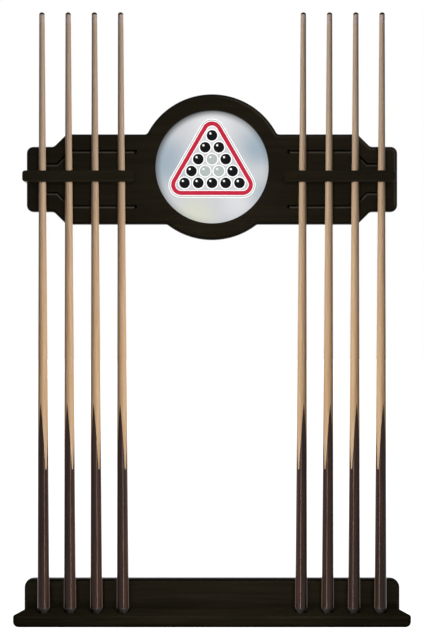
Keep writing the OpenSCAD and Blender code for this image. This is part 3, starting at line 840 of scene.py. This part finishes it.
class CUERACK_OT_stage(bpy.types.Operator):
    """Set up the camera, the pale floor, the lamps and the white surroundings."""

    bl_idname = "cuerack.stage"
    bl_label = "Stage"

    def execute(self, context):
        scene = context.scene
        sizes = scene.cuerack_stage
        scene.view_settings.view_transform = "Standard"
        data = bpy.data.cameras.new("camera")
        data.lens = sizes.lens
        data.clip_end = 100.0
        camera = bpy.data.objects.new("camera", data)
        camera.location = (0.0, -sizes.distance, sizes.height)
        camera.rotation_euler = (math.pi / 2, 0.0, 0.0)
        scene.collection.objects.link(camera)
        scene.camera = camera
        self.make_floor(scene, sizes)
        self.make_world(scene, sizes)
        self.make_lamps(scene, sizes)
        return {"FINISHED"}

    def seen_directly(self, nodes):
        """All on rays from the camera, a mirror or a glass, and nothing on scattered light."""
        path = nodes.tree.nodes.new("ShaderNodeLightPath")
        kinds = ("Is Camera Ray", "Is Glossy Ray", "Is Transmission Ray")
        camera, glossy, through = (Shade(nodes, path.outputs[kind]) for kind in kinds)
        return camera.larger(glossy).larger(through)

    def make_floor(self, scene, sizes):
        """A wide pale floor that reads as white and still takes a shadow."""
        height = cad_box[0].z - sizes.drop
        ways = ((-1, -1), (1, -1), (1, 1), (-1, 1))
        mesh = bpy.data.meshes.new("floor")
        mesh.from_pydata([(x * FLOOR_REACH, y * FLOOR_REACH, height) for x, y in ways], [], [(0, 1, 2, 3)])
        material = bpy.data.materials.new("pale_floor")
        material.use_nodes = True
        nodes = Nodes(material.node_tree)
        nodes.tree.nodes.clear()
        glow = self.seen_directly(nodes) * FLOOR_GLOW
        matt = nodes.node("ShaderNodeBsdfDiffuse", None, {"Color": sizes.floor})
        light = nodes.node("ShaderNodeEmission", None, {"Color": (1.0, 1.0, 1.0), "Strength": glow})
        both = nodes.node("ShaderNodeAddShader", None, {0: matt, 1: light})
        nodes.feed(nodes.tree.nodes.new("ShaderNodeOutputMaterial").inputs["Surface"], both)
        mesh.materials.append(material)
        floor = bpy.data.objects.new("floor", mesh)
        scene.collection.objects.link(floor)

    def make_world(self, scene, sizes):
        """White where it is seen, and a plain soft level where it lights the rack."""
        world = bpy.data.worlds.new("studio")
        world.use_nodes = True
        scene.world = world
        nodes = Nodes(world.node_tree)
        nodes.tree.nodes.clear()
        way = nodes.node("ShaderNodeTexCoord", output="Generated")
        split = nodes.tree.nodes.new("ShaderNodeSeparateXYZ")
        nodes.feed(split.inputs[0], way)
        soft = (Shade(nodes, split.outputs["Y"]).between(0.2, -1.0) * 2.0 + 0.6) * sizes.ambient
        seen = self.seen_directly(nodes)
        strength = seen + (1 - seen) * soft
        sky = nodes.node("ShaderNodeBackground", None, {"Color": (1.0, 1.0, 1.0), "Strength": strength})
        nodes.feed(nodes.tree.nodes.new("ShaderNodeOutputWorld").inputs["Surface"], sky)

    def panel(self, width, height, power, spread=180.0, colour=(1.0, 1.0, 1.0)):
        """Kind and settings of a flat rectangular lamp."""
        return "AREA", {
            "shape": "RECTANGLE", "size": width, "size_y": height,
            "energy": power, "spread": math.radians(spread), "color": colour,
        }

    def far_light(self, width, strength, shadow=True):
        """Kind and settings of a light that comes from one side of the room."""
        return "SUN", {"angle": math.radians(width), "energy": strength, "use_shadow": shadow}

    def add_lamp(self, scene, name, place, target, kind, settings):
        """A lamp that faces its target and stays out of the picture."""
        data = bpy.data.lights.new(name, kind)
        for setting, value in settings.items():
            setattr(data, setting, value)
        lamp = bpy.data.objects.new(name, data)
        lamp.location = place
        lamp.rotation_euler = (Vector(target) - Vector(place)).to_track_quat("-Z", "Y").to_euler()
        lamp.visible_camera = False
        scene.collection.objects.link(lamp)
        return lamp

    def group_of(self, name, pieces, state="INCLUDE"):
        """A collection of the pieces that a lamp shines on, or of those that it leaves out."""
        group = bpy.data.collections.new(name)
        for piece in pieces:
            group.objects.link(piece)
        for member in group.collection_objects:
            member.light_linking.link_state = state
        return group

    def make_lamps(self, scene, sizes):
        """Soft lamps that leave no shine, lamps that only shine in the varnish, and lamps that do both."""
        rail = middle_of("left_rail")
        shelf = middle_of("shelf")
        shown = {
            node: bpy.data.objects.get(node + "_finished", piece) for node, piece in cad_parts.items()
        }
        boards = [shown[node] for node in BOARDS]
        cues = {node: piece for node, piece in shown.items() if node.startswith("cue_")}
        butts = [piece for node, piece in cues.items() if node.endswith(("_butt", "_bumper"))]
        on_boards = self.group_of("on_boards", boards)
        on_top_board = self.group_of("on_top_board", boards[:1])
        on_rails = self.group_of("on_rails", boards[1:3])
        on_butts = self.group_of("on_butts", butts)
        off_wood = self.group_of("off_wood", [*boards, *cues.values()], "EXCLUDE")
        origin = Vector()
        front = self.panel(0.25, 0.25, sizes.front, 100.0)
        low = self.panel(0.9, 0.2, sizes.low, 50.0)
        soft = [
            (on_boards, "front", (0.0, -1.0, rail.z), (0.0, 0.0, rail.z), front),
            (on_boards, "low", (0.0, -1.0, 1.0), (0.0, shelf.y, 0.0), low),
            (on_rails, "bounce", (0.0, -0.4, -1.0), origin, self.far_light(30.0, sizes.bounce, False)),
            (off_wood, "fill", (0.0, -1.0, 0.2), origin, self.far_light(20.0, sizes.fill)),
            (None, "back", (0.3, 1.0, 0.0), origin, self.far_light(30.0, sizes.back)),
        ]
        glint = self.panel(0.08, 0.95, sizes.glint, colour=sizes.warm)
        rim = self.panel(1.0, 0.6, sizes.rim, colour=sizes.warm)
        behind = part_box("base_board")[0].y - RIM_GAP
        shine = [
            (on_butts, "glint", (0.0, -0.70, 0.2), (0.0, 0.0, 0.2), glint),
            (on_butts, "rim", (0.0, behind, 0.27), (0.0, -1.0, 0.27), rim),
        ]
        whole = []
        for side in (-1, 1):
            row = {node: piece for node, piece in cues.items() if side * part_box(node)[0].x < 0}
            pale = [piece for node, piece in row.items() if node.endswith(("_shaft", "_ferrule"))]
            dark = [piece for piece in row.values() if piece not in pale]
            key = ((side, -0.95, 0.0), origin, self.far_light(14.0, sizes.key))
            soft.append((self.group_of(f"on_dark_{side}", dark), f"dark_key_{side}", *key))
            whole.append((self.group_of(f"on_pale_{side}", pale), f"pale_key_{side}", *key))
        edge = self.far_light(38.0, sizes.edge, False)
        for k, turn in enumerate(EDGE_TURNS):
            aside = Vector((math.cos(turn), 0.0, math.sin(turn))) * math.sin(EDGE_TILT)
            place = aside - Vector((0.0, math.cos(EDGE_TILT), 0.0))
            shine.append((on_top_board, f"edge_{k + 1}", place, origin, edge))
        sorts = ((soft, ["visible_glossy"]), (shine, ["visible_diffuse"]), (whole, []))
        for lamps, hidden_from in sorts:
            for group, name, place, target, kind_and_settings in lamps:
                lamp = self.add_lamp(scene, name, place, target, *kind_and_settings)
                if group:
                    lamp.light_linking.receiver_collection = group
                for rays in hidden_from:
                    setattr(lamp, rays, False)


class CUERACK_PT_panel(bpy.types.Panel):
    """Sizes, colours and makers of the cue rack."""

    bl_label = "Cue rack"
    bl_space_type = "VIEW_3D"
    bl_region_type = "UI"
    bl_category = "Cue rack"

    def draw(self, context):
        for group in GROUPS:
            settings = getattr(context.scene, group)
            box = self.layout.box()
            for name in settings.__annotations__:
                box.prop(settings, name)
        for operator in OPERATORS:
            self.layout.operator(operator.bl_idname)


GROUPS = {
    "cuerack_stain": CueRackStain,
    "cuerack_mirror": CueRackMirror,
    "cuerack_cues": CueRackCues,
    "cuerack_fixings": CueRackFixings,
    "cuerack_stage": CueRackStage,
}
OPERATORS = (
    CUERACK_OT_boards,
    CUERACK_OT_mirror,
    CUERACK_OT_print,
    CUERACK_OT_fixings,
    CUERACK_OT_cues,
    CUERACK_OT_stage,
)


def register():
    for group in (*GROUPS.values(), *OPERATORS, CUERACK_PT_panel):
        bpy.utils.register_class(group)
    for name, group in GROUPS.items():
        setattr(bpy.types.Scene, name, PointerProperty(type=group))


def unregister():
    for name in GROUPS:
        delattr(bpy.types.Scene, name)
    for group in (CUERACK_PT_panel, *reversed(OPERATORS), *GROUPS.values()):
        bpy.utils.unregister_class(group)


def main():
    register()
    for operator in OPERATORS:
        area, name = operator.bl_idname.split(".")
        getattr(getattr(bpy.ops, area), name)()


if __name__ == "__main__":
    main()
